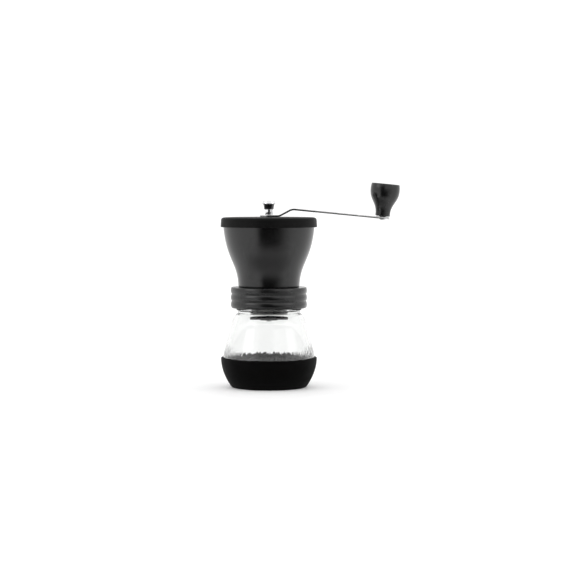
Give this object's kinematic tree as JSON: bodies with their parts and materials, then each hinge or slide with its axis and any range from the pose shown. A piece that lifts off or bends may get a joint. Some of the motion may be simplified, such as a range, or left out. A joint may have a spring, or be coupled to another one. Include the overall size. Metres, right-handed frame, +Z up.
{
  "type": "hand crank coffee grinder",
  "caption": "Hand grinder: clear jar in a rubber foot, ridged screw collar, flared dark hopper with a lid, ceramic cone burrs on a central shaft, and a bent steel crank with a tilted knob.",
  "frame": {"origin": "on the floor, at the middle of the foot's flat underside, on the jar's axis", "axes": "+Z up along the jar and the shaft, +X along the crank towards its knob at rest, -Y towards a person facing the grinder with the crank on their right"},
  "size_m": [0.1729, 0.0932, 0.1981],
  "materials": {
    "clear_glass": "clear pressed glass",
    "black_rubber": "matt silicone rubber",
    "dark_grey_plastic": "satin moulded plastic",
    "smoke_plastic": "dark smoke, satin gloss",
    "black_plastic": "matt moulded plastic",
    "white_ceramic": "unglazed white ceramic",
    "stainless_steel": "polished along its length",
    "spring_steel": "bright drawn",
    "chrome": "mirror plated",
    "brass": "turned",
    "nylon": "natural"
  },
  "bodies": {
    "jar": {"glass_jar": "clear_glass", "foot_cover": "black_rubber"},
    "bush": {"upper_bush": "nylon"},
    "mill": {"mill_body": "dark_grey_plastic", "hopper": "smoke_plastic", "outer_burr_holder": "black_plastic", "outer_burr": "white_ceramic", "lower_bush": "nylon"},
    "shaft": {"drive_shaft": "stainless_steel", "shaft_clip": "spring_steel", "thrust_washer": "spring_steel", "burr_spring": "spring_steel"},
    "burr": {"inner_burr": "white_ceramic", "burr_carrier": "black_plastic", "spring_washer": "spring_steel"},
    "dial": {"adjusting_dial": "black_plastic", "dial_insert": "brass"},
    "arm": {"crank_arm": "stainless_steel", "knob_pin": "stainless_steel", "knob_washer": "stainless_steel"},
    "nut": {"cap_nut": "chrome"},
    "knob": {"crank_knob": "dark_grey_plastic", "knob_cap": "dark_grey_plastic"},
    "lid": {"hopper_lid": "black_plastic"}
  },
  "joints": [
    {"name": "body_lift", "type": "slide", "parent": "jar", "child": "bush", "axis": [0, 0, 1], "range_m": [0, 0.00701]},
    {"name": "body_turn", "type": "hinge", "parent": "bush", "child": "mill", "pos_m": [0, 0, 0.097], "axis": [0, 0, 1], "range_deg": [0, 630]},
    {"name": "crank_turn", "type": "hinge", "parent": "mill", "child": "shaft", "pos_m": [0, 0, 0.166], "axis": [0, 0, -1], "continuous": true},
    {"name": "burr_drop", "type": "slide", "parent": "shaft", "child": "burr", "axis": [0, 0, -1], "range_m": [0, 0.00151], "deforming": ["burr_spring"]},
    {"name": "dial_turn", "type": "hinge", "parent": "burr", "child": "dial", "pos_m": [0, 0, 0.068], "axis": [0, 0, -1], "range_deg": [0, 675]},
    {"name": "arm_lift", "type": "slide", "parent": "shaft", "child": "arm", "axis": [0, 0, 1], "range_m": [0, 0.035]},
    {"name": "nut_turn", "type": "hinge", "parent": "arm", "child": "nut", "pos_m": [0, 0, 0.17], "axis": [0, 0, 1], "range_deg": [0, 3060]},
    {"name": "knob_spin", "type": "hinge", "parent": "arm", "child": "knob", "pos_m": [0.1096, 0, 0.1639], "axis": [0.097, 0, 0.9953], "continuous": true},
    {"name": "lid_lift", "type": "slide", "parent": "mill", "child": "lid", "axis": [0, 0, 1], "range_m": [0, 0.03501]}
  ],
  "couplings": [
    {"joint": "body_lift", "follows": "body_turn", "m_per_rad": 0.00063662},
    {"joint": "burr_drop", "follows": "dial_turn", "m_per_rad": 0.00012732},
    {"joint": "lid_lift", "follows": "arm_lift", "ratio": 1}
  ]
}
